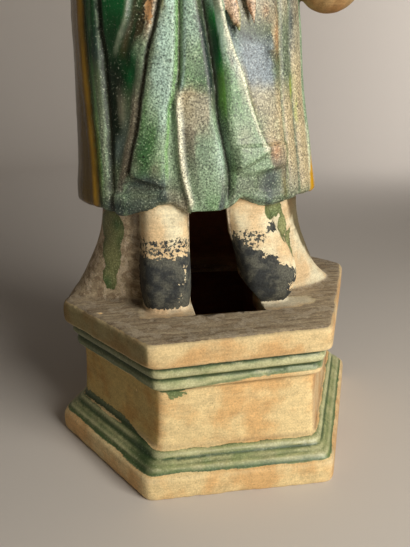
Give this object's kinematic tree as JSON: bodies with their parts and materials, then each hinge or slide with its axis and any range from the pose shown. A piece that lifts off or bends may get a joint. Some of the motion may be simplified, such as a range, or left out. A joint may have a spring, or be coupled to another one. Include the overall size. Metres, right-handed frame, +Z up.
{
  "type": "guardian statue",
  "caption": "Glazed earthenware figure of a robed guardian, hollow, fired in one piece with a waisted hexagonal plinth that it stands on.",
  "frame": {"origin": "centre of the plinth's underside, on the surface it stands on", "axes": "+Z up, -Y towards the front of the figure, +X to the viewer's right"},
  "size_m": [0.193, 0.1735, 0.48],
  "materials": {
    "glazed_earthenware": "worn green and amber lead glaze over buff earthenware, bare and cold-painted in places"
  },
  "bodies": {
    "root": {"guardian_figure": "glazed_earthenware"}
  },
  "joints": []
}
